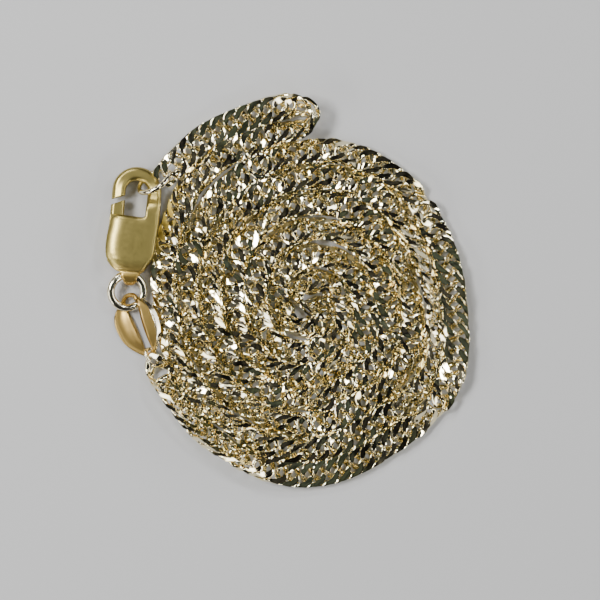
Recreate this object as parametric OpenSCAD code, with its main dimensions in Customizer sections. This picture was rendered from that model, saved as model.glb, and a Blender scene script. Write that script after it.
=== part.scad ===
// A fastened neck chain lying coiled on a flat surface.
// A flat twisted curb chain runs from an oval end tag, inward along one strand of a double
// coil, round the middle, and outward along the other strand to a small ring. That ring hangs
// on the hook of a lever clasp, and a jump ring joins the clasp to the tag.
// Millimetres, +Z up. The surface that it lies on is z = 0.

/* [Clasp] */
// Length of the clasp from the end of its eye to the top of its hook
clasp_len = 12.7; // [12:0.1:14]
// Width across the hook and the body
clasp_w = 5.3; // [5.1:0.05:5.8]
// Thickness of the body at its middle
clasp_t = 2.5; // [2.45:0.05:3]
// Width of the hook's limb, seen from the front
limb_w = 1.47; // [1.3:0.01:1.55]
// Thickness of the hook's limb, front to back
limb_t = 1.2; // [1.1:0.02:1.26]
// Corner radius of the limb's section
limb_round = 0.45; // [0.38:0.01:0.5]
// Height of the opening inside the hook
opening_h = 3.7; // [3.4:0.05:4.2]
// Gap between the hook's tip and the lever's gate
gate_gap = 0.55; // [0.4:0.05:0.8]
// Radius of the crown across the body's front
crown_r = 10; // [9:0.5:20]
// Radius of the corners at the body's lower end
corner_r = 1.7; // [1.2:0.1:2]
// Radius of the eye's outside
eye_r = 1.12; // [1.1:0.01:1.15]
// Radius of the hole through the eye
eye_hole_r = 0.82; // [0.81:0.01:0.84]
// Width of the eye, side to side
eye_w = 1.15; // [1:0.05:1.2]

/* [Lever] */
// Thickness of the lever
lever_t = 1.2; // [1.1:0.02:1.26]
// Gap between the lever and each face of its pocket
lever_play = 0.05; // [0.03:0.01:0.1]
// Distance from the clasp's middle line to the lever's pivot
pivot_out = 1.1; // [1:0.05:1.2]
// Height of the pivot above the end of the eye
pivot_up = 3.9; // [3.8:0.05:4.2]
// Radius of the pivot pin
pin_r = 0.35; // [0.3:0.01:0.4]
// Gap round the pin in the lever
pin_play = 0.04; // [0.02:0.01:0.08]
// How far the thumb tab stands out of the body's side
tab_out = 0.42; // [0.2:0.02:0.6]

/* [Rings] */
// Outer diameter of the jump ring between the clasp and the tag
jump_d = 4.42; // [4.38:0.02:4.5]
// Wire diameter of the jump ring
jump_wire = 0.82; // [0.76:0.02:0.84]
// Outer diameter of the ring on the hook
end_ring_d = 4.3; // [4.25:0.05:4.4]
// Wire diameter of the ring on the hook
end_ring_wire = 0.5; // [0.46:0.02:0.52]

/* [Tag] */
// Length of each of the tag's two leaves
leaf_len = 6.4; // [6.2:0.05:6.6]
// How far a leaf's outer edge bulges from the line between its tips
outer_bulge = 1.55; // [1.3:0.05:1.6]
// How far a leaf's inner edge bulges from the line between its tips
inner_bulge = 0.3; // [0.2:0.02:0.4]
// Thickness of a leaf at its middle
leaf_t = 0.45; // [0.38:0.01:0.46]
// Wire diameter of the loops that join the leaves at their ends
tag_wire = 0.5; // [0.44:0.02:0.56]

/* [Chain] */
// Width of the flat chain
band_w = 2.4; // [1.9:0.05:2.45]
// Thickness of the flat chain
band_t = 1.1; // [0.8:0.02:1.2]
// Distance between neighbouring strands of the coil
strand_step = 2.58; // [2.56:0.01:2.75]
// Distance from the coil's centre to its outermost strand
coil_r = 18.9; // [18.9:0.1:20]
// Wire diameter of the plain links at the chain's two ends
end_link_wire = 0.42; // [0.36:0.02:0.46]
// Length of the plain links at the chain's two ends
end_link_len = 2.3; // [2.2:0.05:2.5]
// Width of the plain links at the chain's two ends
end_link_w = 1.6; // [1.54:0.02:1.7]

/* [Hidden] */
$fn = 48;
past = 0.5;
gold = "goldenrod";

// The coil. Its outline as shares of coil_r, one for every 30 degrees from +X, anticlockwise.
outline_share = [0.935, 0.965, 1.045, 1.085, 1.055, 1.01, 0.942, 0.95, 0.985, 1.02, 0.97, 1.0];
outline_step = 30;
spiral_from = 198;
strand_b_to = 1350;
strand_a_from = 150;
strand_a_to = 1170;
fine_step = 30;
coarse_step = 60;
coarse_under = 0.333;
band_sides = 10;

// The lean of the chain's flat side in degrees, 0 lying flat and 90 on edge.
// Columns: direction along the strand from +X, lean.
strand_b_lean = [[200, 30], [209, -58], [244, -52], [262, -4], [286, 4], [300, 62], [322, 30],
                 [336, -8], [382, -8], [396, 30], [440, 34]];
strand_a_lean = [[150, 30], [175, 40], [215, 34], [250, 26], [270, 14], [300, 26], [330, 36]];
inner_lean = 38;
inner_lean_swing = 18;
inner_lean_turn = 151;
edge_lean = 88;

// The stretch from the first strand's outer end round the fold and back towards the hook.
// Columns: x and y from the coil's centre as shares of coil_r, lean.
tail_route = [[-0.698, 0.683, 24], [-0.477, 0.868, 30], [-0.293, 0.938, 30], [-0.106, 0.99, 54],
              [-0.016, 1.015, 84], [0.026, 1.068, 88], [0.0, 1.122, 84], [-0.085, 1.143, 40],
              [-0.233, 1.12, 8], [-0.423, 1.045, 2], [-0.617, 0.952, 4]];
tail_end_lean = 12;
chain_gap = 0.45;

// Where the clasp lies: how far its right side reaches in past the coil's radius, the height
// of its eye's end as a share of that radius, and its turn.
clasp_inset = 2.05;
clasp_up = 0.114;
clasp_turn = -4.5;
tip_len = 0.75;
eye_lap = 0.05;
eye_to_body = 0.75;
pocket_below = 1.35;
pocket_right = 0.3;
pin_cover = 0.4;
boss_r = 0.95;
tab_r = 6;
tab_above = 0.2;
tab_clear = 0.2;
arm_side = 0.06;

// How the jump ring hangs in the eye.
jump_turn = 11;
jump_side_tilt = 16;
jump_end_drop = 0.15;

// How the ring stands round the hook, how far it hangs off its middle, and the way its link leaves it.
hook_ring_spot = 46;
hook_ring_slide = 0.05;
hook_ring_turn = 33;
hook_ring_tilt = 60;
ring_link_way = [0.6, 0.72, -0.34];
link_play = 0.14;

// The tag's two leaves, the low one under the jump ring and the high one over it.
// Columns: x and y of the upper tip from the jump ring's middle as shares of its radius,
// turn, lean, height of the underside: over the surface for the low leaf, over the ring's
// middle for the high one.
low_leaf_place = [-0.311, -0.691, 24.5, 5, 0.06];
high_leaf_place = [0.575, -0.302, 17.5, -9, 0.02];
// Columns: x and y as above, height as a share of the high leaf's.
tag_top_loop = [[-0.265, -0.748, 0.2], [-0.219, -0.502, 0.28], [-0.037, -0.285, 0.44],
                [0.226, -0.217, 0.67], [0.455, -0.291, 0.88], [0.575, -0.502, 1]];
tag_end_sag = [0.05, -0.14, 0];
tag_link_way = [0.42, -0.9, 0];
dome_r = 2.6;

// Values worked out from the ones above.
half_w = clasp_w / 2;
limb_mid_r = half_w - limb_w / 2;
limb_z = clasp_t / 2;
hook_v = clasp_len - half_w;
inner_top_v = clasp_len - limb_w;
shoulder_v = inner_top_v - opening_h;
tip_v = hook_v - tip_len;
gate_v = tip_v - gate_gap;
eye_v = eye_r - eye_lap;
body_from_v = eye_v + eye_to_body;
pocket_t = lever_t + 2 * lever_play;
pocket_from_v = pivot_up - pocket_below;
pin_len = clasp_t - pin_cover;
tab_v = pivot_up + tab_above;
tab_u = tab_r - half_w - tab_out;
tab_from_v = pocket_from_v + tab_clear;
tab_to_v = shoulder_v - tab_clear;
clasp_at = [clasp_inset - half_w - coil_r, clasp_up * coil_r];

jump_r = (jump_d - jump_wire) / 2;
jump_mid = clasp_point(0, eye_v) - jump_r * [sin(jump_turn), cos(jump_turn)];
jump_z = clasp_t / 2 - jump_end_drop;
low_leaf = leaf_row(low_leaf_place, 0);
high_leaf = leaf_row(high_leaf_place, jump_z);
low_tip = leaf_tip(low_leaf);
high_tip = leaf_tip(high_leaf);
tag_end = (low_tip + high_tip) / 2 + tag_end_sag;
end_link_hole = end_link_len - 2 * end_link_wire;
tag_link_n = unit(high_tip - low_tip);
tag_link_u = square_to(tag_link_way, tag_link_n);
tag_link_at = tag_end + (end_link_hole / 2 - tag_wire / 2 - link_play) * tag_link_u;

// The hook's ring is high enough to stand on the surface.
end_ring_r = (end_ring_d - end_ring_wire) / 2;
hook_ring_z = end_ring_r * sin(hook_ring_tilt) + end_ring_wire / 2;
limb_spot = clasp_point(limb_mid_r * cos(hook_ring_spot), hook_v + limb_mid_r * sin(hook_ring_spot));
hook_ring_way = turned([1, 0], hook_ring_turn);
hook_ring_at = limb_spot + hook_ring_slide * hook_ring_way
               + (hook_ring_z - limb_z) / tan(hook_ring_tilt) * turned([0, -1], hook_ring_turn);
ring_link_u = unit(ring_link_way);
ring_link_at = [hook_ring_at[0], hook_ring_at[1], hook_ring_z]
               + end_ring_r * [hook_ring_way[0], hook_ring_way[1], 0]
               + (end_link_hole / 2 - end_ring_wire / 2 - link_play) * ring_link_u;
pitch = 2 * strand_step;

// Small vector helpers.
function flat(p) = [p[0], p[1]];
function leaf_row(place, from_z) =
    [jump_mid[0] + place[0] * jump_r, jump_mid[1] + place[1] * jump_r, place[2], place[3],
     from_z + place[4]];
function unit(v) = v / norm(v);
function turned(p, a) = [p[0] * cos(a) - p[1] * sin(a), p[0] * sin(a) + p[1] * cos(a)];
function square_to(v, n) = unit(v - (v * n) * n);
function leaf_tip(row) =
    let (p = [row[0], row[1]] + turned([0, tag_wire / 2 - leaf_len], row[2]))
    [p[0], p[1], row[4] + tag_wire / 2];
function clasp_point(u, v) = clasp_at + turned([u, v], clasp_turn);
function mixed(a, b, t) = a + (b - a) * t;
function smooth(t) = t * t * (3 - 2 * t);

// A curve through four neighbouring values, at t between the middle two.
function through(a, b, c, d, t) =
    (2 * b + (c - a) * t + (2 * a - 5 * b + 4 * c - d) * t * t
     + (3 * b - a - 3 * c + d) * t * t * t) / 2;
function outline_at(deg) =
    let (n = len(outline_share), x = (deg % 360) / outline_step, i = floor(x))
    through(outline_share[(i + n - 1) % n], outline_share[i % n],
            outline_share[(i + 1) % n], outline_share[(i + 2) % n], x - i);

// The value of a two-column table at x, eased from row to row.
function looked_up(table, x, i = 0) =
    x <= table[i][0] ? table[i][1]
    : i + 1 >= len(table) ? table[i][1]
    : x < table[i + 1][0]
        ? mixed(table[i][1], table[i + 1][1],
                smooth((x - table[i][0]) / (table[i + 1][0] - table[i][0])))
    : looked_up(table, x, i + 1);
function lean_at(table, deg) =
    let (last = table[len(table) - 1])
    deg <= last[0] ? looked_up(table, deg)
    : last[1] + (inner_lean + inner_lean_swing * sin(inner_lean_turn * (deg - last[0]) / 60)
                 - last[1]) * min(1, (deg - last[0]) / 60);

// Distance of a strand's middle from the coil's centre. Strand a lies one step inside b.
function strand_r(deg, inside) =
    outline_at(deg) * (coil_r - inside * strand_step - pitch * (deg - spiral_from) / 360);
// A chord cuts the curve's corner, so its ends stand out by half of what it cuts.
function ring_r(deg, inside, step) = strand_r(deg, inside) * 2 / (1 + cos(step / 2));
function ring_at(deg, inside, table, step) =
    let (r = ring_r(deg, inside, step))
    [r * cos(deg), r * sin(deg), lean_at(table, deg)];
function step_at(deg, inside) = strand_r(deg, inside) > coarse_under * coil_r ? fine_step : coarse_step;

function strand_b(deg = 210) =
    deg >= strand_b_to
        ? [ring_at(strand_b_to, 0, strand_b_lean, 0)]
        : concat([ring_at(deg, 0, strand_b_lean, step_at(deg, 0))],
                 strand_b(deg + step_at(deg, 0)));
function strand_a(deg = strand_a_from) =
    deg >= strand_a_to
        ? [ring_at(strand_a_to, 1, strand_a_lean, 0)]
        : concat([ring_at(deg, 1, strand_a_lean, step_at(deg, 1))],
                 strand_a(deg + step_at(deg, 1)));

// The middle, where the two strands join in two half circles, on edge.
middle_b = strand_r(strand_b_to, 0);
middle_a = strand_r(strand_a_to, 1);
middle = concat(
    [for (a = [-30, 30]) [middle_b / 2 * cos(a), middle_b / 2 * (sin(a) - 1), edge_lean]],
    [[0, 0, edge_lean]],
    [for (a = [210, 150]) [middle_a / 2 * cos(a), middle_a / 2 * (sin(a) + 1), edge_lean]]);

function reversed(list) = [for (i = [len(list) - 1:-1:0]) list[i]];
tag_link_end = flat(tag_link_at + end_link_len / 2 * tag_link_u);
ring_link_end = flat(ring_link_at + (end_link_len / 2 + chain_gap) * ring_link_u);
first = tag_link_end + chain_gap * unit(flat(strand_b()[0]) - tag_link_end);
route = concat([[first[0], first[1], strand_b_lean[0][1]]], strand_b(), middle,
               reversed(strand_a()), [for (p = tail_route) [coil_r * p[0], coil_r * p[1], p[2]]],
               [[ring_link_end[0], ring_link_end[1], tail_end_lean]]);

// How far a leaning oval section reaches up from its middle.
function rise(lean) =
    sqrt(pow(band_w / 2 * sin(lean), 2) + pow(band_t / 2 * cos(lean), 2));

// One ring of the chain's outer form. The lean changes its sign where the travel turns over,
// so that a positive lean raises the edge towards the coil's centre.
turn_over = len(strand_b()) + 3;
function heading(i) =
    let (a = route[max(i - 1, 0)], b = route[min(i + 1, len(route) - 1)])
    unit([b[0] - a[0], b[1] - a[1]]);
function side_sign(i) = i < turn_over ? 1 : -1;
function section(i) =
    let (p = route[i], f = heading(i), lean = side_sign(i) * p[2])
    [for (k = [0:band_sides - 1])
        let (a = 360 * (k + 0.5) / band_sides,
             w = band_w / 2 * cos(a), t = band_t / 2 * sin(a),
             side = w * cos(lean) - t * sin(lean), up = w * sin(lean) + t * cos(lean))
        [p[0] - f[1] * side, p[1] + f[0] * side, rise(p[2]) + up]];
rings = [for (i = [0:len(route) - 1]) section(i)];
chain_points = [for (ring = rings) for (p = ring) p];

// The whole object's box from its own points, so that the origin is at its bottom centre.
tab_left = clasp_point(tab_u - tab_r, tab_v)[0];
left = min(tab_left, jump_mid[0] - jump_r - jump_wire / 2);
right = max([for (p = chain_points) p[0]]);
top = max([for (p = chain_points) p[1]]);
bottom = min([for (p = chain_points) p[1]]);
centre = [(left + right) / 2, (bottom + top) / 2, 0];

module placed() {
    translate(-centre) children();
}
module on_clasp() {
    translate([clasp_at[0], clasp_at[1], 0]) rotate([0, 0, clasp_turn]) children();
}

// A round wire along a few points.
module wire(points, r) {
    for (i = [1:len(points) - 1]) hull() {
        translate(points[i - 1]) sphere(r = r, $fn = 20);
        translate(points[i]) sphere(r = r, $fn = 20);
    }
}
module ring(mid_r, wire_r) {
    rotate_extrude() translate([mid_r, 0]) circle(r = wire_r);
}
// A long link in the plane of u and v, its middle at p and its length along u.
module long_link(p, u, v) {
    n = cross(u, v);
    mid_r = (end_link_w - end_link_wire) / 2;
    half = (end_link_len - end_link_w) / 2;
    multmatrix([[u[0], v[0], n[0], p[0]], [u[1], v[1], n[1], p[1]], [u[2], v[2], n[2], p[2]],
                [0, 0, 0, 1]]) {
        for (s = [-1, 1]) {
            translate([s * half, 0, 0]) rotate([0, 0, -90 * s])
                rotate_extrude(angle = 180) translate([mid_r, 0]) circle(d = end_link_wire);
            translate([-half, s * mid_r, 0]) rotate([0, 90, 0])
                cylinder(d = end_link_wire, h = 2 * half);
        }
    }
}

// The limb's rounded section, centred.
module limb_section() {
    square([limb_w, limb_t - 2 * limb_round], center = true);
    square([limb_w - 2 * limb_round, limb_t], center = true);
    for (x = [-1, 1], y = [-1, 1])
        translate([x * (limb_w / 2 - limb_round), y * (limb_t / 2 - limb_round)])
            circle(r = limb_round);
}
module straight_limb(u, from_v, to_v) {
    translate([u, from_v, limb_z]) rotate([-90, 0, 0]) linear_extrude(to_v - from_v) limb_section();
}
module body_outline() {
    translate([-half_w, body_from_v + corner_r])
        square([clasp_w, shoulder_v - body_from_v - corner_r]);
    translate([corner_r - half_w, body_from_v])
        square([clasp_w - 2 * corner_r, shoulder_v - body_from_v]);
    for (s = [-1, 1])
        translate([s * (half_w - corner_r), body_from_v + corner_r]) circle(r = corner_r);
}
module clasp_solid() {
    intersection() {
        linear_extrude(clasp_t) body_outline();
        translate([0, 0, clasp_t - crown_r]) rotate([-90, 0, 0]) cylinder(r = crown_r, h = clasp_len);
    }
    straight_limb(limb_mid_r, shoulder_v - past, hook_v);
    straight_limb(-limb_mid_r, tip_v, hook_v);
    translate([0, hook_v, limb_z]) rotate_extrude(angle = 180)
        translate([limb_mid_r, 0]) limb_section();
    translate([-eye_w / 2, eye_v, clasp_t / 2]) rotate([0, 90, 0]) cylinder(r = eye_r, h = eye_w);
    translate([-eye_w / 2, eye_v, clasp_t / 2 - eye_r * 0.8])
        cube([eye_w, body_from_v - eye_v + past, eye_r * 1.6]);
}
module clasp_body() color(gold) placed() on_clasp() difference() {
    clasp_solid();
    translate([-half_w - past, pocket_from_v, limb_z - pocket_t / 2])
        cube([half_w + past + pocket_right, shoulder_v - pocket_from_v + past, pocket_t]);
    translate([-clasp_w / 2, eye_v, clasp_t / 2]) rotate([0, 90, 0])
        cylinder(r = eye_hole_r, h = clasp_w);
    translate([-pivot_out, pivot_up, -past]) cylinder(r = pin_r, h = pin_len + past);
}
module clasp_pin() color(gold) placed() on_clasp()
    translate([-pivot_out, pivot_up, 0]) cylinder(r = pin_r, h = pin_len);

module clasp_lever() color(gold) placed() on_clasp() difference() {
    union() {
        translate([0, 0, limb_z - lever_t / 2]) linear_extrude(lever_t) {
            translate([-pivot_out, pivot_up]) circle(r = boss_r);
            translate([-half_w, pivot_up])
                square([limb_w - arm_side, shoulder_v - pivot_up]);
            intersection() {
                translate([tab_u, tab_v]) circle(r = tab_r);
                translate([-half_w - tab_out - past, tab_from_v])
                    square([half_w + tab_out + past - pivot_out, tab_to_v - tab_from_v]);
            }
        }
        straight_limb(-limb_mid_r, shoulder_v - past, gate_v);
    }
    translate([-pivot_out, pivot_up, 0]) cylinder(r = pin_r + pin_play, h = clasp_t);
}

// The jump ring passes through the eye, its right side low, its far side a little lower.
module jump_ring() color("gold") placed()
    translate([jump_mid[0], jump_mid[1], jump_z]) rotate([0, 0, -jump_turn])
        rotate([asin(jump_end_drop / jump_r), 0, 0]) rotate([0, jump_side_tilt, 0])
            ring(jump_r, jump_wire / 2);

// The ring on the hook stands steeply round the limb, its upper half towards the tag.
module hook_ring() color("gold") placed()
    translate([hook_ring_at[0], hook_ring_at[1], hook_ring_z])
        rotate([0, 0, hook_ring_turn]) rotate([-hook_ring_tilt, 0, 0])
            ring(end_ring_r, end_ring_wire / 2);

// One leaf of the tag, its upper tip at the origin: two arcs in outline, domed on top.
// side is 1 where the outer edge is towards +x, and -1 where it is towards -x.
function arc_r(bulge) = (pow(leaf_len / 2, 2) + pow(bulge, 2)) / (2 * bulge);
module edge_arc(bulge, side) {
    translate([side * (bulge - arc_r(bulge)), -leaf_len / 2, -leaf_t])
        cylinder(r = arc_r(bulge), h = 3 * leaf_t, $fn = 96);
}
module leaf(row, side) {
    dome_mid = side * (outer_bulge - inner_bulge) / 2;
    translate([row[0], row[1], 0]) rotate([0, 0, row[2]])
        translate([0, 0, row[4]]) rotate([0, row[3], 0]) hull() intersection() {
            edge_arc(outer_bulge, side);
            edge_arc(inner_bulge, -side);
            translate([dome_mid, -leaf_len, leaf_t - dome_r]) rotate([-90, 0, 0])
                cylinder(r = dome_r, h = 2 * leaf_len, $fn = 96);
            translate([-leaf_len, -leaf_len, 0]) cube([2 * leaf_len, 2 * leaf_len, leaf_t]);
        }
}
module oval_tag() color(gold) placed() {
    leaf(low_leaf, -1);
    leaf(high_leaf, 1);
    wire([for (p = tag_top_loop)
        [jump_mid[0] + p[0] * jump_r, jump_mid[1] + p[1] * jump_r, p[2] * high_tip[2]]], tag_wire / 2);
    wire([low_tip, tag_end, high_tip], tag_wire / 2);
}
module tag_link() color("gold") placed()
    long_link(tag_link_at, tag_link_u, cross(tag_link_n, tag_link_u));
module ring_link() color("gold") placed() {
    wire_way = [cos(hook_ring_tilt) * sin(hook_ring_turn),
                -cos(hook_ring_tilt) * cos(hook_ring_turn), sin(hook_ring_tilt)];
    long_link(ring_link_at, ring_link_u, unit(cross(wire_way, ring_link_u)));
}

module chain() color("khaki") placed() {
    n = band_sides;
    last = len(rings) - 1;
    polyhedron(
        points = chain_points,
        faces = concat(
            [[for (k = [0:n - 1]) k]],
            [[for (k = [n - 1:-1:0]) last * n + k]],
            [for (i = [0:last - 1], k = [0:n - 1])
                [i * n + k, (i + 1) * n + k, (i + 1) * n + (k + 1) % n]],
            [for (i = [0:last - 1], k = [0:n - 1])
                [i * n + k, (i + 1) * n + (k + 1) % n, i * n + (k + 1) % n]]));
}

clasp_body();
clasp_lever();
clasp_pin();
jump_ring();
oval_tag();
hook_ring();
tag_link();
ring_link();
chain();
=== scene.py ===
import math
import bpy
import numpy as np
from mathutils import Matrix, Vector


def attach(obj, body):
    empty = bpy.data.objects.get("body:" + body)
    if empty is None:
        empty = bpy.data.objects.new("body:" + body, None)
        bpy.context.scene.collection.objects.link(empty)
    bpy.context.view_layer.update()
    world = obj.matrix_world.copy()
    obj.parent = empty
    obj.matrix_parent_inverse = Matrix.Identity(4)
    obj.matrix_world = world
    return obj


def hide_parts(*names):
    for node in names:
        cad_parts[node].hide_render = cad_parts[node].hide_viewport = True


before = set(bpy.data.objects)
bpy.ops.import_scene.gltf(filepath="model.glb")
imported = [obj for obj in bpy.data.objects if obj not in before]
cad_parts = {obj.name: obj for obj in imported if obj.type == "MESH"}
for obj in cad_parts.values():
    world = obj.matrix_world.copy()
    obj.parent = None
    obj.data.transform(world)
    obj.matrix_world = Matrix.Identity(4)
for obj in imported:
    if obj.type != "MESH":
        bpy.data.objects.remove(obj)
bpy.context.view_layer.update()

MM = 0.001
scene = bpy.context.scene
rng = np.random.default_rng(11)


def rad(deg):
    return deg * math.pi / 180


# ---- camera: straight above ----
# The layout below is in millimetres about the coil's centre. CENTRE is the object's middle in it.
CENTRE = np.array([-2.65962, 1.45016, 0.0])
SEEN_MID, SEEN_WIDTH, SEEN_HEIGHT = (1.477, -0.912), 64.5, 1.0
SENSOR, LENS = 36, 150
camera = bpy.data.objects.new("camera", bpy.data.cameras.new("camera"))
scene.collection.objects.link(camera)
scene.camera = camera
camera.data.sensor_width = SENSOR
camera.data.lens = LENS
camera.data.clip_start = 0.01
camera.location = (SEEN_MID[0] * MM, SEEN_MID[1] * MM,
                   (SEEN_WIDTH * LENS / SENSOR + SEEN_HEIGHT) * MM)
camera.rotation_euler = (0, 0, 0)


# ---- the layout's sizes and places in millimetres: those of the part's source, with a few wires
# and the lever's tab set nearer to the photograph ----
clasp_len, clasp_w, clasp_t, clasp_turn = 12.7, 5.3, 2.5, -4.5
clasp_inset, clasp_up = 2.05, 0.114
limb_w, limb_t, opening_h, gate_gap, tip_len = 1.47, 1.2, 3.7, 0.55, 0.75
eye_r, eye_hole_r, eye_lap = 1.12, 0.82, 0.05
lever_t, lever_play, pivot_out, pivot_up = 1.2, 0.05, 1.1, 3.9
pocket_below, pocket_side, pin_top, pin_play = 1.35, 0.3, 2.11, 0.01
tab_r, tab_above, tab_out, pin_r = 6.0, 0.2, 0.2, 0.35
jump_d, jump_wire, jump_turn, jump_end_drop, jump_roll = 4.42, 0.84, 11, 0.15, 16
leaf_len, outer_bulge, inner_bulge, tag_wire = 6.4, 1.55, 0.3, 0.5
end_ring_d, end_ring_wire, end_link_wire, end_link_len, end_link_w = 4.3, 0.56, 0.42, 2.3, 1.6
link_play = 0.14
hook_ring_spot, hook_ring_turn, hook_ring_tilt, hook_ring_slide = 46, 33, 60, 0.3
coil_r, strand_step = 18.9, 2.58
outline_share = np.array([0.935, 0.965, 1.045, 1.085, 1.055, 1.01,
                          0.942, 0.95, 0.985, 1.02, 0.97, 1.0])
spiral_from, strand_b_from, strand_b_to, strand_a_from, strand_a_to = 198, 207, 1350, 150, 1170

half_w = clasp_w / 2
limb_mid_r = half_w - limb_w / 2
limb_z = clasp_t / 2
hook_v = clasp_len - half_w
shoulder_v = clasp_len - limb_w - opening_h
tip_v = hook_v - tip_len
gate_v = tip_v - gate_gap
eye_v = eye_r - eye_lap
clasp_at = np.array([clasp_inset - half_w - coil_r, clasp_up * coil_r])
jump_r = (jump_d - jump_wire) / 2
end_ring_r = (end_ring_d - end_ring_wire) / 2


def turned(p, deg):
    c, s = math.cos(rad(deg)), math.sin(rad(deg))
    return np.array([p[0] * c - p[1] * s, p[0] * s + p[1] * c])


def unit(v):
    v = np.asarray(v, float)
    return v / np.linalg.norm(v)


def clasp_point(u, v):
    """The layout's point that is u across and v along the clasp from its lower end."""
    return clasp_at + turned((u, v), clasp_turn)


jump_mid = clasp_point(0, eye_v) \
    - jump_r * np.array([math.sin(rad(jump_turn)), math.cos(rad(jump_turn))])


def leaf_row(place):
    """A leaf's upper end, turn, roll and height, from a place in shares of the jump ring."""
    return [jump_mid[0] + place[0] * jump_r, jump_mid[1] + place[1] * jump_r, *place[2:]]


low_leaf = leaf_row([-0.311, -0.691, 24.5, 5, 0.06])
high_leaf = leaf_row([0.575, -0.302, 17.5, -9, 1.12])


def leaf_tip(row):
    """Where a leaf's lower end meets the tag's wire."""
    p = np.array(row[:2]) + turned((0, tag_wire / 2 - leaf_len), row[2])
    return np.array([p[0], p[1], row[4] + tag_wire / 2])


low_tip, high_tip = leaf_tip(low_leaf), leaf_tip(high_leaf)
tag_end_shift, tag_link_way, ring_link_way = [0.05, -0.14, 0], [0.42, -0.9, 0], [0.6, 0.72, -0.34]
tag_end = (low_tip + high_tip) / 2 + tag_end_shift
end_hole = end_link_len - 2 * end_link_wire
tag_link_n = unit(high_tip - low_tip)
tag_link_u = unit(tag_link_way - (tag_link_way @ tag_link_n) * tag_link_n)
tag_link_at = tag_end + (end_hole / 2 - tag_wire / 2 - link_play) * tag_link_u
hook_ring_z = end_ring_r * math.sin(rad(hook_ring_tilt)) + end_ring_wire / 2
limb_spot = clasp_point(*(turned((limb_mid_r, 0), hook_ring_spot) + (0, hook_v)))
hook_ring_way = turned((1, 0), hook_ring_turn)
hook_ring_at = limb_spot + hook_ring_slide * hook_ring_way \
    + (hook_ring_z - limb_z) / math.tan(rad(hook_ring_tilt)) * turned((0, -1), hook_ring_turn)
ring_link_u = unit(ring_link_way)
ring_link_at = np.array([*hook_ring_at, hook_ring_z]) \
    + end_ring_r * np.array([*hook_ring_way, 0]) \
    + (end_hole / 2 - end_ring_wire / 2 - link_play) * ring_link_u


# ---- the chain's route ----
def between(a, b, c, d, t):
    """The smooth curve from b to c at share t, with a before them and d after."""
    return (2 * b + (c - a) * t + (2 * a - 5 * b + 4 * c - d) * t ** 2
            + (3 * b - a - 3 * c + d) * t ** 3) / 2


def outline_at(deg):
    """The coil's radius at an angle as a share of coil_r, eased between values 30 degrees apart."""
    x = np.mod(deg, 360) / 30
    i = np.floor(x).astype(int)
    return between(*(outline_share[(i + k) % 12] for k in (-1, 0, 1, 2)), x - i)


def strand_r(deg, inside):
    """Radius of a strand at an angle. inside: 0 for strand b, 1 for strand a beside it."""
    turns = (deg - spiral_from) / 360
    return outline_at(deg) * (coil_r - inside * strand_step - 2 * strand_step * turns)


# The chain's lean in degrees at angles along each strand, 0 lying flat and 90 on edge.
strand_b_lean = np.array([[200, 30], [209, -58], [244, -52], [262, -4], [286, 4], [300, 20],
                          [322, 18], [336, -8], [382, -8], [396, 30], [430, 30], [465, 12],
                          [505, 12], [530, 34]], float)
strand_a_lean = np.array([[150, 22], [175, 30], [215, 30], [250, 26], [270, 14], [300, 26],
                          [330, 34]], float)
# Past the table the lean swings about a middle value, at a rate that no turn repeats.
far_lean, far_swing, far_rate, far_after = 27, 15, 151, 60


def lean_at(table, deg):
    """A strand's lean at an angle, eased between the table's rows."""
    xs, ys = table.T
    i = np.clip(np.searchsorted(xs, deg, "right") - 1, 0, len(xs) - 2)
    t = np.clip((deg - xs[i]) / (xs[i + 1] - xs[i]), 0, 1)
    near = ys[i] + (ys[i + 1] - ys[i]) * t * t * (3 - 2 * t)
    past = deg - xs[-1]
    goal = far_lean + far_swing * np.sin(rad(far_rate) * past / far_after)
    far = ys[-1] + (goal - ys[-1]) * np.clip(past / far_after, 0, 1)
    return np.where(past > 0, far, near)


# Columns: x and y from the coil's centre as shares of coil_r, lean.
tail_route = [[-0.698, 0.683, 14], [-0.477, 0.866, 10], [-0.293, 0.938, 14], [-0.106, 0.99, 44],
              [-0.016, 1.015, 84], [0.026, 1.068, 88], [0.0, 1.122, 84], [-0.085, 1.143, 40],
              [-0.233, 1.12, 8], [-0.423, 1.045, 2], [-0.617, 0.952, 4]]


ROUTE_DEG = 3.0
S_WIDE, S_LEAN = 1.4, 40    # the middle's S: its width as a share of a half circle's, and its lean
END_RUN = 2.0    # how far the route runs on past its two end links
ends_lean = [[40, 40, 30], [168, 168, 168]]


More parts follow.
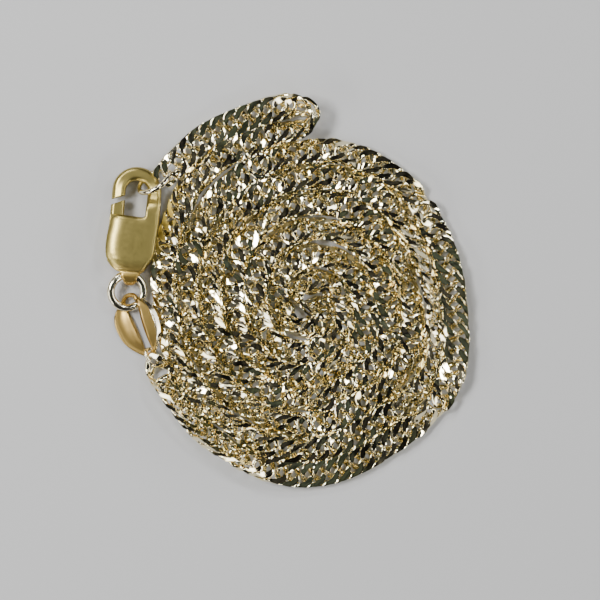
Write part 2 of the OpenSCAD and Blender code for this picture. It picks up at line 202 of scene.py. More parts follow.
def chain_route():
    """Points along the chain's middle and its lean, which passes 90 where the travel turns over:
    out of the tag's link, in along strand b, an S in the middle, out along strand a, the tail."""
    def strand(deg, inside, leans):
        r = strand_r(deg, inside)
        return np.stack([r * np.cos(rad(deg)), r * np.sin(rad(deg)), leans], 1).tolist()

    def end_rows(at, u, leans):
        spots = at[:2] - END_RUN * u[:2], at[:2], (at + (end_link_len / 2) * u)[:2]
        return [[*p, lean] for p, lean in zip(spots, leans)]

    b_deg = np.arange(strand_b_from, strand_b_to + 0.1, ROUTE_DEG)
    a_deg = np.arange(strand_a_to, strand_a_from - 0.1, -ROUTE_DEG)
    mid_b, mid_a = strand_r(np.array(strand_b_to), 0) / 2, strand_r(np.array(strand_a_to), 1) / 2
    middle = [[S_WIDE * mid_b * math.cos(rad(a)), mid_b * (math.sin(rad(a)) - 1), S_LEAN]
              for a in range(-70, 90, 20)]
    middle += [[S_WIDE * mid_a * math.cos(rad(a)), mid_a * (math.sin(rad(a)) + 1), 180 - S_LEAN]
               for a in range(250, 90, -20)]
    return np.array(end_rows(tag_link_at, tag_link_u, ends_lean[0])
                    + strand(b_deg, 0, lean_at(strand_b_lean, b_deg)) + middle
                    + strand(a_deg, 1, 180 - lean_at(strand_a_lean, a_deg))
                    + [[coil_r * x, coil_r * y, 180 - lean] for x, y, lean in tail_route]
                    + end_rows(ring_link_at, ring_link_u, ends_lean[1])[::-1])


def smoothed(values, width):
    """Columns blurred along their rows by a bell curve. width: its spread in rows."""
    half = int(3 * width)
    k = np.exp(-0.5 * (np.arange(-half, half + 1) / width) ** 2)
    padded = np.concatenate([np.repeat(values[:1], half, 0), values,
                             np.repeat(values[-1:], half, 0)])
    return np.stack([np.convolve(padded[:, c], k / k.sum(), "valid")
                     for c in range(values.shape[1])], 1)


def lengths_along(points):
    """The distance along a path to each of its points, seen from above."""
    return np.concatenate([[0], np.cumsum(np.hypot(*np.diff(points[:, :2], axis=0).T))])


rows = chain_route()
along = lengths_along(rows)
FINE = 0.1    # distance between the fine route's points
PATH_WIDTH, LEAN_WIDTH = 0.45, 1.0
SWAY, SWAY_WIDTH, CALM_END = 0.07, 2.6, 12
s_fine = np.arange(0, along[-1], FINE)
dense = np.stack([np.interp(s_fine, along, rows[:, c]) for c in range(3)], 1)
dense[:, :2] = smoothed(dense[:, :2], PATH_WIDTH / FINE)
settled = np.clip(np.minimum(s_fine, along[-1] - s_fine) / CALM_END, 0, 1)[:, None]
sway = smoothed(rng.normal(size=(len(s_fine), 2)), SWAY_WIDTH / FINE)
dense[:, :2] += SWAY * sway / sway.std(0) * settled
dense[:, 2:] = smoothed(dense[:, 2:], LEAN_WIDTH / FINE)
s_at = lengths_along(dense)


# ---- the link: a curb link bent out of its plane, with flat cuts on both faces ----
# Half length and half width of the wire's middle line, its bend out of the plane, how level its
# sides stay, and how much wider the wire is there. Then where the flats are cut, and their tilt.
LINK_A, LINK_B, LINK_N, LEVEL, WIDER, WIRE_R = 1.85, 1.31, 0.35, 2.8, 0.4, 0.235
CUT_N, CUT_T, CUT_TILT, CUT_ANGLE = 0.46, 1.37, 0.08, 30
PITCHES = (1.28, 1.46)


def link_shape(segs=56):
    """One link as points and four-sided faces: x along the chain, y across, z out of its flat."""
    th = np.linspace(0, 2 * np.pi, 1441)
    curve = np.stack([LINK_A * np.cos(th), LINK_B * np.sin(th), np.zeros_like(th)], 1)
    corner = LINK_A * LINK_B / 2
    curve[:, 2] = -LINK_N * np.tanh(LEVEL * curve[:, 0] * curve[:, 1] / corner) / math.tanh(LEVEL)
    d = np.concatenate([[0], np.cumsum(np.linalg.norm(np.diff(curve, axis=0), axis=1))])
    at = np.linspace(0, d[-1], segs, endpoint=False)
    mid = np.stack([np.interp(at, d, curve[:, k]) for k in range(3)], 1)
    mid = (np.roll(mid, 1, 0) + 2 * mid + np.roll(mid, -1, 0)) / 4
    ahead = np.roll(mid, -1, 0) - np.roll(mid, 1, 0)
    ahead /= np.linalg.norm(ahead, axis=1)[:, None]
    across = np.cross([0, 0, 1.0], ahead)
    across /= np.linalg.norm(across, axis=1)[:, None]
    up = np.cross(ahead, across)
    flat = 1 - (1 - np.clip(np.abs(mid[:, 0] * mid[:, 1]) / corner, 0, 1)) ** 2
    quarter = np.array([0, CUT_ANGLE / 2, CUT_ANGLE, 65])
    a = rad(np.concatenate([quarter, [90], 180 - quarter[::-1],
                            180 + quarter[1:], [270], 360 - quarter[:0:-1]]))
    sides = len(a)
    wide = (WIRE_R * (1 + WIDER * flat))[:, None, None]
    points = mid[:, None] + wide * np.cos(a)[None, :, None] * across[:, None] \
        + WIRE_R * np.sin(a)[None, :, None] * up[:, None]
    inward = (LINK_A * LINK_B - LINK_B * np.abs(points[:, :, 0])
              - LINK_A * np.abs(points[:, :, 1])) / math.hypot(LINK_A, LINK_B)
    cut = CUT_N + CUT_TILT * np.clip(inward, -0.5, 0.5)
    points[:, :, 2] = np.clip(points[:, :, 2], -cut, cut)
    points[:, :, 1] = np.clip(points[:, :, 1], -CUT_T, CUT_T)
    i, k = np.meshgrid(np.arange(segs), np.arange(sides), indexing="ij")
    i2, k2 = (i + 1) % segs, (k + 1) % sides
    faces = np.stack([i * sides + k, i * sides + k2, i2 * sides + k2, i2 * sides + k], -1)
    return points.reshape(-1, 3), faces.reshape(-1, 4)


link_points, link_faces = link_shape()


def support(lean):
    """How far the link's lowest point lies below its middle at each lean in degrees."""
    table = np.arange(0, 181, 3.0)
    depth = [-(link_points[:, 1] * math.sin(rad(a)) + link_points[:, 2] * math.cos(rad(a))).min()
             for a in table]
    return np.interp(lean, table, depth)


def to_world(points):
    return (np.asarray(points) - CENTRE) * MM


def along_chain(s):
    """Middle, left direction, lean and height of the route at distance s."""
    def at(v):
        return np.interp(s, s_at, v)
    x, y = at(dense[:, 0]), at(dense[:, 1])
    t = np.gradient(dense[:, :2], axis=0)
    t /= np.linalg.norm(t, axis=1)[:, None]
    tx, ty = at(t[:, 0]), at(t[:, 1])
    n = np.hypot(tx, ty)
    return x, y, -ty / n, tx / n, at(lean_fine), at(z_fine)


# How unsteady the chain's turn is: little where it lies flat, more where it curls.
place_deg = np.degrees(np.unwrap(np.arctan2(dense[:, 1], dense[:, 0])))
START_ROW = 60    # in strand b, just past the tag's link
b_deg = place_deg - place_deg[START_ROW] + strand_b_from
to_end = s_at[-1] - s_at
is_b = s_at < s_at[np.argmin(np.hypot(dense[:, 0], dense[:, 1]))]
unsteady_b = np.interp(b_deg, [200, 206, 214, 255, 265, 285, 292, 328, 335, 384, 392, 470],
                       [0.1, 0.6, 0.4, 0.4, 0.15, 0.15, 0.7, 0.7, 0.2, 0.2, 1.3, 1.0])
unsteady_a = np.interp(to_end, [0, 16, 20, 120, 140], [0.1, 0.2, 0.8, 0.8, 1.0])
unsteady = np.where(is_b, unsteady_b, unsteady_a)
TWIST, TWIST_WIDTH = 13, 1.1
noise = smoothed(rng.normal(size=(len(s_at), 1)), TWIST_WIDTH / FINE)[:, 0]
lean_fine = dense[:, 2] + noise * TWIST / noise.std() * unsteady * settled[:, 0]
# The chain lies on the floor, and rises at its ends to the hook ring and to the tag: by how much,
# from what distance to the end, and over what length.
RING_RISE, RING_FROM, RING_OVER = 1.35, 7.5, 5.5
TAG_RISE, TAG_FROM, TAG_OVER = 0.4, 6, 3
z_fine = support(np.abs(lean_fine)) \
    + (RING_RISE * np.clip((RING_FROM - to_end) / RING_OVER, 0, 1) ** 1.5
       + TAG_RISE * np.clip((TAG_FROM - s_at) / TAG_OVER, 0, 1))

END_SLACK = 1.6
start, stop = END_SLACK + LINK_A, s_at[-1] - END_SLACK
count = int(round((stop - start) / sum(PITCHES))) * 2 + 1
at_link = np.concatenate([[0], np.cumsum([PITCHES[i % 2] for i in range(count - 1)])])
at_link = start + at_link * (stop - start) / at_link[-1]


def small_turn(along_way, others):
    """A small random turn for each link, in degrees about the chain's way and the other axes."""
    a = rad(1) * np.clip(rng.normal(size=(count, 3)), -2, 2)
    a *= np.stack([along_way, others, others], 1)
    m = np.tile(np.eye(3), (count, 1, 1))
    m[:, 0, 1], m[:, 1, 0] = -a[:, 2], a[:, 2]
    m[:, 0, 2], m[:, 2, 0] = a[:, 1], -a[:, 1]
    m[:, 1, 2], m[:, 2, 1] = -a[:, 0], a[:, 0]
    return m


def mesh_piece(name, points, faces, material, body, node, sharp=None):
    """A smooth-shaded piece that rides on a body and replaces a node. sharp: least hard angle."""
    mesh = bpy.data.meshes.new(name)
    mesh.from_pydata(np.asarray(points).tolist(), [],
                     faces.tolist() if isinstance(faces, np.ndarray) else faces)
    mesh.update()
    mesh.polygons.foreach_set("use_smooth", [True] * len(mesh.polygons))
    if sharp:
        mesh.set_sharp_from_angle(angle=rad(sharp))
    mesh.materials.append(material)
    piece = bpy.data.objects.new(name, mesh)
    scene.collection.objects.link(piece)
    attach(piece, body)
    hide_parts(node)
    return piece


# ---- materials ----
def add_node(tree, kind, **values):
    """A new shader node. values: its inputs, with _ for a space."""
    node = tree.nodes.new("ShaderNode" + kind)
    for slot, value in values.items():
        node.inputs[slot.replace("_", " ")].default_value = value
    return node


def new_material(name):
    m = bpy.data.materials.new(name)
    m.use_nodes = True
    return m, m.node_tree, m.node_tree.nodes["Principled BSDF"]


def gold(name, tones, rough, grain, bump, patch, painted_shade=None):
    """Metal whose colour drifts between two tones, with fine wear in its roughness and relief.
    The optional last argument gives two heights in y and a painted warm shade's colour, which lies
    below the first height and fades into the tones by the second."""
    m, tree, shader = new_material(name)
    link = tree.links.new
    shader.inputs["Metallic"].default_value = 1.0
    place = add_node(tree, "TexCoord")
    drift = add_node(tree, "TexNoise", Scale=patch, Detail=3.0)
    link(place.outputs["Object"], drift.inputs["Vector"])
    tone = add_node(tree, "ValToRGB")
    for element, where, colour in zip(tone.color_ramp.elements, (0.35, 0.65), tones):
        element.position = where
        element.color = (*colour, 1)
    link(drift.outputs["Fac"], tone.inputs["Fac"])
    colour = tone.outputs["Color"]
    # Below the first height the colour is a painted warm shade.
    if painted_shade:
        split = add_node(tree, "SeparateXYZ")
        link(place.outputs["Object"], split.inputs["Vector"])
        share = add_node(tree, "MapRange", From_Min=painted_shade[0], From_Max=painted_shade[1])
        link(split.outputs["Y"], share.inputs["Value"])
        shade_blend = add_node(tree, "MixRGB", Color1=(*painted_shade[2], 1))
        link(share.outputs["Result"], shade_blend.inputs["Fac"])
        link(colour, shade_blend.inputs["Color2"])
        colour = shade_blend.outputs["Color"]
    link(colour, shader.inputs["Base Color"])
    wear = add_node(tree, "TexNoise", Scale=grain, Detail=4.0)
    link(place.outputs["Object"], wear.inputs["Vector"])
    span = add_node(tree, "MapRange", From_Min=0.3, From_Max=0.7, To_Min=rough[0], To_Max=rough[1])
    link(wear.outputs["Fac"], span.inputs["Value"])
    link(span.outputs["Result"], shader.inputs["Roughness"])
    relief = add_node(tree, "Bump", Strength=bump, Distance=0.00002)
    link(wear.outputs["Fac"], relief.inputs["Height"])
    link(relief.outputs["Normal"], shader.inputs["Normal"])
    return m


CHAIN_GOLD = gold("polished_gold", [(0.87, 0.76, 0.45), (0.92, 0.84, 0.59)], (0.04, 0.12),
                  grain=2600, bump=0.15, patch=500)
RING_GOLD = gold("ring_gold", [(0.92, 0.82, 0.56), (1.0, 0.92, 0.70)], (0.10, 0.20),
                 grain=2200, bump=0.1, patch=600)
# The satin gold's neck, below neck_y, is painted a warm orange shade: painted shadow with the
# orange of light reflected into it.
neck_y = (clasp_point(0, 1.2)[1] - CENTRE[1]) * MM
SATIN_GOLD = gold("satin_gold", [(0.43, 0.342, 0.106), (0.45, 0.358, 0.114)], (0.31, 0.35),
                  grain=2600, bump=0.01, patch=260,
                  painted_shade=(neck_y - 0.0004, neck_y + 0.0012, (0.74, 0.49, 0.135)))
TAG_GOLD = gold("tag_gold", [(0.47, 0.312, 0.092), (0.51, 0.342, 0.106)], (0.33, 0.38),
                grain=2600, bump=0.01, patch=300)

# ---- the links ----
# Their random turns about the chain's way and the other axes, and what unsteadiness adds.
TURN_ALONG, MORE_ALONG, TURN_OTHERS, MORE_OTHERS = 1.5, 8, 1.2, 2.5
loose = np.interp(at_link, s_at, unsteady)
turns = small_turn(TURN_ALONG + MORE_ALONG * loose, TURN_OTHERS + MORE_OTHERS * loose)
placed = np.einsum("lij,pj->lpi", turns, link_points)
S = at_link[:, None] + placed[:, :, 0]
x, y, lx, ly, lean, z0 = along_chain(S)
t, n = placed[:, :, 1], placed[:, :, 2]
cl, sl = np.cos(rad(lean)), np.sin(rad(lean))
side, height = t * cl - n * sl, t * sl + n * cl
chain_points = np.stack([x + lx * side, y + ly * side, z0 + height], -1)
low = chain_points[:, :, 2].min(1)
chain_points[:, :, 2] -= np.minimum(low, 0)[:, None]
PIECES = 4
for k in range(PIECES):
    some = chain_points[k * count // PIECES:(k + 1) * count // PIECES]
    faces = link_faces[None] + (np.arange(len(some)) * len(link_points))[:, None, None]
    mesh_piece(f"chain_links_{k + 1}", to_world(some.reshape(-1, 3)), faces.reshape(-1, 4),
               CHAIN_GOLD, "necklace", "chain", sharp=34)


# ---- tubes: rings, end links, the tag's wire loops ----
def loft_faces(m, per, closed):
    """Faces between m rings of per points each, with end faces unless the last joins the first."""
    faces = [(i * per + k, i * per + (k + 1) % per, (i + 1) % m * per + (k + 1) % per,
              (i + 1) % m * per + k) for i in range(m if closed else m - 1) for k in range(per)]
    if not closed:
        faces += [tuple(range(per))[::-1], tuple((m - 1) * per + k for k in range(per))]
    return faces


def tube(path, r, closed, sides=20):
    """A round wire along a path. Where it closes, its frames' leftover turn is spread along it."""
    path = np.asarray(path, float)
    m = len(path)
    ahead = (np.roll(path, -1, 0) - np.roll(path, 1, 0)) if closed else np.gradient(path, axis=0)
    ahead /= np.linalg.norm(ahead, axis=1)[:, None]
    normal = np.cross(ahead[0], [0.31, 0.17, 0.93])
    frames = []
    for t in ahead:
        normal = unit(normal - (normal @ t) * t)
        frames.append((normal, np.cross(t, normal)))
    slip = 0
    if closed:
        end = unit(frames[-1][0] - (frames[-1][0] @ ahead[0]) * ahead[0])
        slip = math.atan2(end @ frames[0][1], end @ frames[0][0])
    a = 2 * np.pi * np.arange(sides) / sides
    points = []
    for i, (p, (e1, e2)) in enumerate(zip(path, frames)):
        b = a - slip * i / (m - 1)
        points.append(p + r * (np.cos(b)[:, None] * e1 + np.sin(b)[:, None] * e2))
    return np.concatenate(points), loft_faces(m, sides, closed)


def spline(points, per=8):
    """A smooth path through the points."""
    p = np.asarray(points, float)
    p = np.concatenate([2 * p[:1] - p[1:2], p, 2 * p[-1:] - p[-2:-1]])
    out = [between(*p[i - 1:i + 3], t) for i in range(1, len(p) - 2) for t in np.arange(per) / per]
    return np.array(out + [p[-2]])


def moved(points, matrix):
    m = np.array(matrix)
    return np.asarray(points) @ m[:3, :3].T + m[:3, 3]


def circle(r, count=96):
    a = 2 * np.pi * np.arange(count) / count
    return np.stack([r * np.cos(a), r * np.sin(a), np.zeros(count)], 1)


def turn_about(deg, axis):
    return Matrix.Rotation(rad(deg), 4, axis)


def ring_piece(name, matrix, r, wire, node):
    points, faces = tube(moved(circle(r), matrix), wire / 2, True)
    mesh_piece(name, to_world(points), faces, RING_GOLD, "necklace", node)


def long_link(name, at, u, v, node):
    """A plain link of two half circles in the plane of u, its length, and v."""
    mid_r, half = (end_link_w - end_link_wire) / 2, (end_link_len - end_link_w) / 2
    path = [at + (x + mid_r * math.cos(rad(a))) * u + mid_r * math.sin(rad(a)) * v
            for x, first in ((half, -90), (-half, 90)) for a in np.linspace(first, first + 180, 25)]
    points, faces = tube(path, end_link_wire / 2, True, 14)
    mesh_piece(name, to_world(points), faces, RING_GOLD, "necklace", node)


ring_piece("jump_ring_wire",
           Matrix.Translation((*jump_mid, clasp_t / 2 - jump_end_drop))
           @ turn_about(-jump_turn, "Z")
           @ turn_about(math.degrees(math.asin(jump_end_drop / jump_r)), "X")
           @ turn_about(jump_roll, "Y"),
           jump_r, jump_wire, "jump_ring")
ring_piece("hook_ring_wire",
           Matrix.Translation((*hook_ring_at, hook_ring_z)) @ turn_about(hook_ring_turn, "Z")
           @ turn_about(-hook_ring_tilt, "X"), end_ring_r, end_ring_wire, "hook_ring")
long_link("tag_link_wire", tag_link_at, tag_link_u, np.cross(tag_link_n, tag_link_u), "tag_link")
wire_way = np.array([*(math.cos(rad(hook_ring_tilt)) * turned((0, -1), hook_ring_turn)),
                     math.sin(rad(hook_ring_tilt))])
long_link("ring_link_wire", ring_link_at, ring_link_u, unit(np.cross(wire_way, ring_link_u)),
          "ring_link")

# ---- the tag: two leaves and the wires that join them ----
tag_points, tag_faces, bevel_highlight_faces = [], [], []
# A leaf's points across and rings along, the angle left off at its blunt ends, how full its outer
# arc is, its bevels' height and slope at the outer and inner edge, and its underside's height.
LEAF_ACROSS, LEAF_RINGS, LEAF_ENDS, LEAF_FULL = 25, 61, 0.08, 2.5
OUT_HEIGHT, OUT_SLOPE, IN_HEIGHT, IN_SLOPE, UNDER_HEIGHT = 0.12, 0.9, 0.16, 1.6, 0.04
HIGHLIGHT_FROM = 18    # the point across the high leaf from which its outer edge is bright: a painted highlight in the ring's brighter gold


def add_to_tag(points, faces):
    base = sum(len(p) for p in tag_points)
    tag_points.append(np.asarray(points))
    tag_faces.extend([tuple(base + v for v in f) for f in faces])


def leaf(row, side_sign, bulge, skew, heights):
    """A leaf between two arcs. heights: its top's height, slope and curve, inward from the outer
    edge. Rings of points across it run along the top and back along the underside."""
    arc_r = ((leaf_len / 2) ** 2 + inner_bulge ** 2) / (2 * inner_bulge)
    w = np.linspace(0, 1, LEAF_ACROSS)
    per = 2 * len(w)
    rings = []
    round_ends = np.cos(np.linspace(LEAF_ENDS, np.pi - LEAF_ENDS, LEAF_RINGS))
    for y in -leaf_len / 2 * (1 - round_ends):
        inner = inner_bulge - arc_r + np.sqrt(arc_r * arc_r - (y + leaf_len / 2) ** 2)
        outer = bulge * (1 - np.abs(2 * (-y / leaf_len) ** skew - 1) ** LEAF_FULL)
        x_in, x_out = -side_sign * inner, side_sign * outer
        x = x_in + (x_out - x_in) * w
        wide = abs(x_out - x_in)
        from_out, from_in = wide * (1 - w), wide * w
        top = np.minimum(np.polyval(heights[::-1], from_out), OUT_HEIGHT + from_out * OUT_SLOPE)
        top = np.minimum(top, IN_HEIGHT + from_in * IN_SLOPE)
        over, under = (np.stack([x, np.full_like(x, y), z], 1)
                       for z in (top, np.minimum(UNDER_HEIGHT, top)))
        rings.append(np.concatenate([over, under[::-1]]))
    m = len(rings)
    faces = loft_faces(m, per, False)
    if side_sign > 0:
        # The high leaf's outer bevel faces are kept for a painted highlight.
        bevel_highlight_faces.extend(len(tag_faces) + i * per + k
                          for i in range(m - 1) for k in range(HIGHLIGHT_FROM, LEAF_ACROSS - 1))
        faces = [f[::-1] for f in faces]
    place = Matrix.Translation((row[0], row[1], 0)) @ turn_about(row[2], "Z") \
        @ Matrix.Translation((0, 0, row[4])) @ turn_about(row[3], "Y")
    add_to_tag(moved(np.concatenate(rings), place), faces)


leaf(low_leaf, -1, outer_bulge + 0.28, 0.8, (0.26, -0.2, 0.23))
leaf(high_leaf, 1, outer_bulge, 0.9, (0.42, 0.16, 0))
# The wire loop at the leaves' upper ends: x and y from the jump ring's middle in shares of its
# radius, and the height as a share of the high leaf's.
loop = [[-0.265, -0.748, 0.2], [-0.219, -0.502, 0.28], [-0.037, -0.285, 0.44],
        [0.226, -0.217, 0.67], [0.455, -0.291, 0.88], [0.575, -0.502, 1]]
loop = [[jump_mid[0] + a * jump_r, jump_mid[1] + b * jump_r, c * high_tip[2]] for a, b, c in loop]
add_to_tag(*tube(spline(loop), tag_wire / 2, False, 16))
add_to_tag(*tube(spline([low_tip, tag_end, high_tip], 10), tag_wire / 2, False, 16))
tag = mesh_piece("tag_leaves", to_world(np.concatenate(tag_points)), tag_faces, TAG_GOLD,
                 "necklace", "oval_tag", sharp=40)
# The high leaf's outer bevel takes the ring's brighter, smoother gold: a painted highlight along
# that edge.
tag.data.materials.append(RING_GOLD)
for i in bevel_highlight_faces:
    tag.data.polygons[i].material_index = 1


# ---- the clasp: smooth forms from distance fields ----
def skin(field, lo, hi, step):
    """The closed surface where the field is zero, as points and four-sided faces: one point in each
    cell that it crosses, at the mean of its edges' crossings, then drawn onto the surface."""
    n = [int(math.ceil((b - a) / step)) + 1 for a, b in zip(lo, hi)]
    axes = [lo[i] + step * np.arange(n[i]) for i in range(3)]
    f = field(*np.meshgrid(*axes, indexing="ij"))
    index = np.meshgrid(*[np.arange(k) for k in n], indexing="ij")
    total, hits = np.zeros([k - 1 for k in n] + [3]), np.zeros([k - 1 for k in n])
    edges = []
    for axis in range(3):
        lo_side = [slice(None)] * 3
        hi_side = [slice(None)] * 3
        lo_side[axis], hi_side[axis] = slice(None, -1), slice(1, None)
        f0, f1 = f[tuple(lo_side)], f[tuple(hi_side)]
        cross = (f0 < 0) != (f1 < 0)
        share = np.where(cross, f0 / np.where(cross, f0 - f1, 1), 0)
        p = np.stack([index[k][tuple(lo_side)] + (share if k == axis else 0) for k in range(3)], -1)
        p = p * cross[..., None]
        others = [k for k in range(3) if k != axis]
        for d in ((0, 0), (0, 1), (1, 0), (1, 1)):
            cut = [slice(None)] * 3
            for k, o in zip(others, d):
                cut[k] = slice(o, o + n[k] - 1)
            total += p[tuple(cut)]
            hits += cross[tuple(cut)]
        edges.append((axis, others, cross, f0 < 0))
    ids = np.full(hits.shape, -1)
    used = hits > 0
    ids[used] = np.arange(used.sum())
    points = total[used] / hits[used][:, None] * step + np.array(lo)
    faces = []
    for axis, (b, c), cross, first_in in edges:
        at = np.argwhere(cross)
        at = at[(at[:, b] > 0) & (at[:, c] > 0) & (at[:, b] < n[b] - 1) & (at[:, c] < n[c] - 1)]
        flip = first_in[tuple(at.T)] ^ (axis == 1)
        quad = []
        for ob, oc in ((1, 1), (0, 1), (0, 0), (1, 0)):
            cell = at.copy()
            cell[:, b] -= ob
            cell[:, c] -= oc
            quad.append(ids[tuple(cell.T)])
        quad = np.stack(quad, 1)
        quad[~flip] = quad[~flip][:, ::-1]
        faces.append(quad)
    e = step / 10
    for _ in range(3):
        x, y, z = points.T
        v = field(x, y, z)
        g = np.stack([field(x + e, y, z) - field(x - e, y, z),
                      field(x, y + e, z) - field(x, y - e, z),
                      field(x, y, z + e) - field(x, y, z - e)], 1) / (2 * e)
        move = (v / np.maximum((g * g).sum(1), 0.2))[:, None] * g
        points = points - np.clip(move, -step / 2, step / 2)
    return points, np.concatenate(faces)


def box_2d(x, y, hx, hy, r):
    """Distance from a rounded rectangle of half sizes hx and hy."""
    qx, qy = np.abs(x) - hx + r, np.abs(y) - hy + r
    return np.minimum(np.maximum(qx, qy), 0) + np.hypot(np.maximum(qx, 0), np.maximum(qy, 0)) - r


FAR = 10    # half size of a box where only its near edge matters


def thick(d, z, half, r):
    """A flat outline at distance d, given thickness and edges rounded by r."""
    return box_2d(d + FAR, z, FAR, half, r)


def joined(a, b, k):
    """Both forms in one, with a fillet of about k."""
    h = np.maximum(k - np.abs(a - b), 0) / k
    return np.minimum(a, b) - h * h * k / 4


def cut_away(a, b, k):
    return -joined(-a, b, k)


def eased(t):
    t = np.clip(t, 0, 1)
    return t * t * (3 - 2 * t)


def hook_distance(u, v):
    """Distance from the middle line of the limbs and the arch over them."""
    round_part = np.abs(np.hypot(u, v - hook_v) - limb_mid_r)
    return np.where(v > hook_v, round_part, np.abs(np.abs(u) - limb_mid_r))


# Rows: height v, half-width there.
left_side = [[-0.3, 0.3], [0.0, 0.5], [0.2, 0.6], [0.6, 0.76], [1.0, 0.93], [1.2, 1.05],
             [1.34, 1.12], [1.42, 1.62], [1.93, 2.2], [2.55, 2.66], [3.16, 2.88], [3.78, 2.95],
             [4.55, 2.94], [5.33, 2.88], [5.94, 2.76], [6.6, 2.67], [7.6, 2.65]]
right_side = [[-0.3, 0.3], [0.0, 0.5], [0.2, 0.6], [0.6, 0.76], [1.0, 0.9], [1.2, 0.98],
              [1.36, 1.05], [1.46, 1.32], [1.62, 1.44], [2.24, 1.83], [2.86, 2.16], [3.3, 2.33],
              [3.78, 2.44], [5.33, 2.54], [6.4, 2.63], [7.6, 2.65]]


def beyond_side(u, v, side):
    """Distance outside a side of the body, given as half-widths at heights v and smoothed."""
    at = np.arange(-0.8, 9, 0.02)
    wide = smoothed(np.interp(at, *np.array(side).T)[:, None], 4)[:, 0]
    return (u - np.interp(v, at, wide)) * np.interp(v, at, 1 / np.hypot(1, np.gradient(wide, at)))


# The body: its brow's place under the shoulder and slope, and how round its corners and edges are.
brow_down, brow_slope, left_corner, right_corner, body_edge = 0.16, 0.06, 0.9, 0.05, 0.22
# How deep its top face falls off towards the left side, the right side and the brow, each with the
# width of the fall, where the brow's fades to the right, and how deep it falls at both sides alike.
left_fall, left_wide, right_fall, right_wide, brow_fall, brow_wide = 0.55, 1.9, 0.08, 0.5, 0.25, 0.9
brow_fade, both_fall = (0.2, 1.2), 0.05
# The limbs: how round their edges are, how much their outer edges hang, the slant of the tip, and
# how far over the shoulder the right limb starts to thicken, with the length that this takes.
limb_edge, left_droop, right_droop, tip_slant = 0.5, 0.26, 0.22, 0.36
thicker_from, thicker_over, thicker_edge = 2.9, 2.7, 0.2
pocket_edge, eye_edge = 0.06, 0.12
# The lever: its boss, the play beside its arm, its tab's middle height and half length, its edges,
# the fillet at the tab, and the gate's slant and edges.
boss_r, arm_play, tab_mid, tab_half, lever_edge, tab_fillet = 0.95, 0.06, 4.5, 1.75, 0.1, 0.3
gate_slant, gate_edge, lever_pin_play = 0.42, 0.42, 0.04


def body_field(u, v, z):
    """The cast piece: body, eye, limbs, arch and hook, less the lever's pocket and the holes."""
    left_d, right_d = beyond_side(-u, v, left_side), beyond_side(u, v, right_side)
    brow = shoulder_v - brow_down - brow_slope * u
    outline = cut_away(np.maximum(left_d, right_d), brow - v, left_corner * (u < 0) + right_corner)
    brow_here = brow_fall - brow_fall * eased((u - brow_fade[0]) / brow_fade[1])
    falls = [(left_fall, 1 + left_d / left_wide), (right_fall, 1 + right_d / right_wide),
             (brow_here, 1 + (v - brow) / brow_wide)]
    drop = both_fall * (u / half_w) ** 2 + sum(k * np.clip(t, 0, 1) ** 3 for k, t in falls)
    half = clasp_t / 2 - (clasp_t / 2 - eye_r) * eased((2.7 - v) / 1.6)
    top = limb_z + half - drop * eased((v - 0.9) / 1.2)
    over = np.maximum(np.hypot(np.maximum(eye_v - v, 0), z - limb_z) - half, z - top)
    body = box_2d(outline + FAR, over + FAR, FAR, FAR, body_edge)
    d = hook_distance(u, v)
    # The limbs' outer edges hang lower, and the arch is level again.
    on_right = right_droop * (u - limb_mid_r) * eased((v - shoulder_v - 0.4) / 1.2)
    droop = np.where(u < 0, left_droop * (u + limb_mid_r), on_right) * eased((11.6 - v) / 1.6)
    limb = box_2d(d, z - limb_z - droop, limb_w / 2, limb_t / 2, limb_edge)
    # The right limb thickens down to the body's faces.
    rise = eased((shoulder_v + thicker_from - v) / thicker_over)
    upper = limb_z + limb_t / 2 + droop + (top - limb_z - limb_t / 2) * rise
    under = limb_z - limb_t / 2 - (clasp_t - limb_t) / 2 * rise
    right = box_2d(d, z - (upper + under) / 2, limb_w / 2, (upper - under) / 2,
                   limb_edge - (limb_edge - thicker_edge) * rise)
    right = np.maximum(right, np.maximum(-u, shoulder_v - 0.8 - v))
    left = np.maximum(limb, np.maximum(u, tip_v + tip_slant * (u + limb_mid_r) - v))
    arch = np.maximum(limb, hook_v - v)
    hook = np.minimum(np.minimum(right, left), arch)
    corner_fill = 0.05 + 0.3 * np.clip((1.75 - u) / 0.5, 0, 1)
    shape = np.maximum(joined(body, right, corner_fill), np.abs(z - top / 2) - top / 2)
    shape = np.minimum(shape, hook)
    pocket = np.maximum(np.abs(z - limb_z) - lever_t / 2 - lever_play,
                        np.maximum(u - pocket_side, pivot_up - pocket_below - v))
    pocket = np.maximum(pocket, v - shoulder_v - 0.4)
    shape = cut_away(shape, pocket, pocket_edge)
    shape = cut_away(shape, np.hypot(v - eye_v, z - limb_z) - eye_hole_r, eye_edge)
    pin = np.maximum(np.hypot(u + pivot_out, v - pivot_up) - pin_r - pin_play, z - pin_top)
    return np.maximum(shape, -pin)


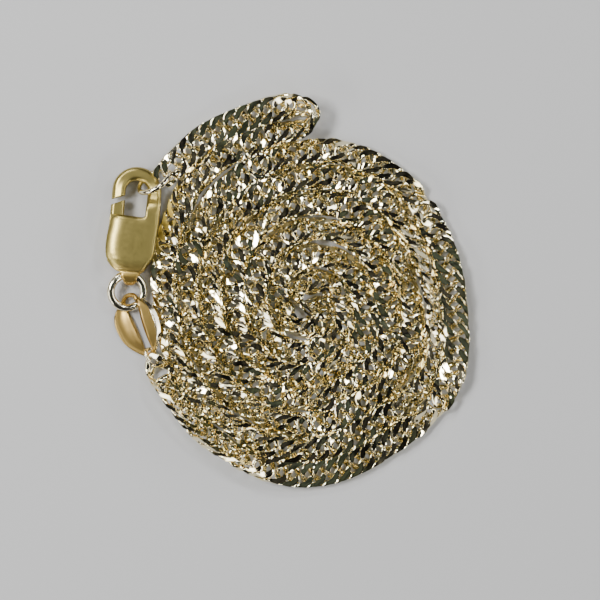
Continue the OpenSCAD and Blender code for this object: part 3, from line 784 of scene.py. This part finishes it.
def lever_field(u, v, z):
    """The lever: a boss round the pin, an arm up to the gate, and the thumb tab's arc outside."""
    boss = np.hypot(u + pivot_out, v - pivot_up) - boss_r
    arm_w = (limb_w - arm_play) / 2
    arm = box_2d(u + half_w - arm_w, v - (pivot_up + shoulder_v) / 2,
                 arm_w, (shoulder_v - pivot_up) / 2 + 0.2, 0.05)
    tab_u, tab_v = tab_r - half_w - tab_out, pivot_up + tab_above
    tab = np.maximum(np.hypot(u - tab_u, v - tab_v) - tab_r, u + pivot_out)
    tab = np.maximum(tab, np.abs(v - tab_mid) - tab_half)
    flat = thick(joined(np.minimum(boss, arm), tab, tab_fillet), z - limb_z, lever_t / 2,
                 lever_edge)
    d = np.abs(u + limb_mid_r)
    gate = box_2d(d, z - limb_z, limb_w / 2, limb_t / 2, gate_edge)
    gate = np.maximum(gate, shoulder_v - 0.7 - v)
    gate = np.maximum(gate, v - gate_v - gate_slant * (u + limb_mid_r))
    flat = np.maximum(flat, v - shoulder_v + 0.1)
    hole = np.hypot(u + pivot_out, v - pivot_up) - pin_r - lever_pin_play
    return np.maximum(np.minimum(flat, gate), -hole)


def clasp_piece(name, field, lo, hi, step, body, node):
    points, faces = skin(field, lo, hi, step)
    place = Matrix.Translation((*clasp_at, 0)) @ turn_about(clasp_turn, "Z")
    mesh_piece(name, to_world(moved(points, place)), faces, SATIN_GOLD, body, node,
               sharp=50)


STEP = 0.08
clasp_piece("clasp_case", body_field, (-3.0, -0.3, -0.2), (3.0, 13.0, 2.8), STEP,
            "necklace", "clasp_body")
clasp_piece("clasp_gate", lever_field, (-3.4, 2.6, 0.4), (0.2, 9.4, 2.1), STEP,
            "lever", "clasp_lever")
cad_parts["clasp_pin"].data.materials.clear()
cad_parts["clasp_pin"].data.materials.append(SATIN_GOLD)


# ---- floor, world and lights ----
FLOOR_HALF, FLOOR_DROP = 1.2, 0.00002
floor_mat, _, floor_shader = new_material("floor")
floor_shader.inputs["Base Color"].default_value = (0.57, 0.57, 0.57, 1)
floor_shader.inputs["Roughness"].default_value = 0.75
floor_mesh = bpy.data.meshes.new("floor")
floor_mesh.from_pydata([(x * FLOOR_HALF, y * FLOOR_HALF, 0)
                        for x, y in ((-1, -1), (1, -1), (1, 1), (-1, 1))], [], [(0, 1, 2, 3)])
floor_mesh.materials.append(floor_mat)
floor = bpy.data.objects.new("floor", floor_mesh)
floor.location = (0, 0, -FLOOR_DROP)
scene.collection.objects.link(floor)

# The world's light goes by height, in soft patches, which the polished metal reflects.
world = bpy.data.worlds.new("studio")
scene.world = world
world.use_nodes = True
tree = world.node_tree
link = tree.links.new
way = add_node(tree, "TexCoord")
split = add_node(tree, "SeparateXYZ")
link(way.outputs["Generated"], split.inputs["Vector"])
by_height = add_node(tree, "ValToRGB")
stops = by_height.color_ramp.elements
stops[0].color = (0.12, 0.12, 0.115, 1)
stops[1].color = (0.15, 0.195, 0.172, 1)
for where, grey in ((0.3, 0.085), (0.6, 0.06), (0.85, 0.065)):
    stops.new(where).color = (grey, grey, grey, 1)
link(split.outputs["Z"], by_height.inputs["Fac"])
patches = add_node(tree, "TexNoise", Scale=3.2, Detail=1.0)
link(way.outputs["Generated"], patches.inputs["Vector"])
level = add_node(tree, "MapRange", From_Min=0.4, From_Max=0.62, To_Min=0.12, To_Max=0.68)
link(patches.outputs["Fac"], level.inputs["Value"])
link(level.outputs["Result"], tree.nodes["Background"].inputs["Strength"])
link(by_height.outputs["Color"], tree.nodes["Background"].inputs["Color"])


def softbox(name, azimuth, elevation, distance, size, radiance):
    """A soft light that faces the part. azimuth: from +X, anticlockwise; size: width, height."""
    light = bpy.data.lights.new(name, "AREA")
    light.shape = "RECTANGLE"
    light.size, light.size_y = size
    light.energy = radiance * math.pi * size[0] * size[1]
    obj = bpy.data.objects.new(name, light)
    a, e = rad(azimuth), rad(elevation)
    way = Vector((math.cos(a) * math.cos(e), math.sin(a) * math.cos(e), math.sin(e)))
    obj.location = way * distance
    obj.rotation_euler = way.to_track_quat("Z", "Y").to_euler()
    scene.collection.objects.link(obj)


softbox("key", 165, 52, 0.40, (0.17, 0.09), 31)
softbox("upper", 116, 42, 0.42, (0.07, 0.05), 42)
softbox("above", 25, 75, 0.42, (0.035, 0.035), 30)
softbox("side", 212, 28, 0.42, (0.38, 0.09), 6)
softbox("right", 8, 22, 0.42, (0.40, 0.09), 7)
softbox("right_high", 35, 50, 0.42, (0.045, 0.045), 45)
softbox("front", 315, 34, 0.42, (0.05, 0.05), 34)
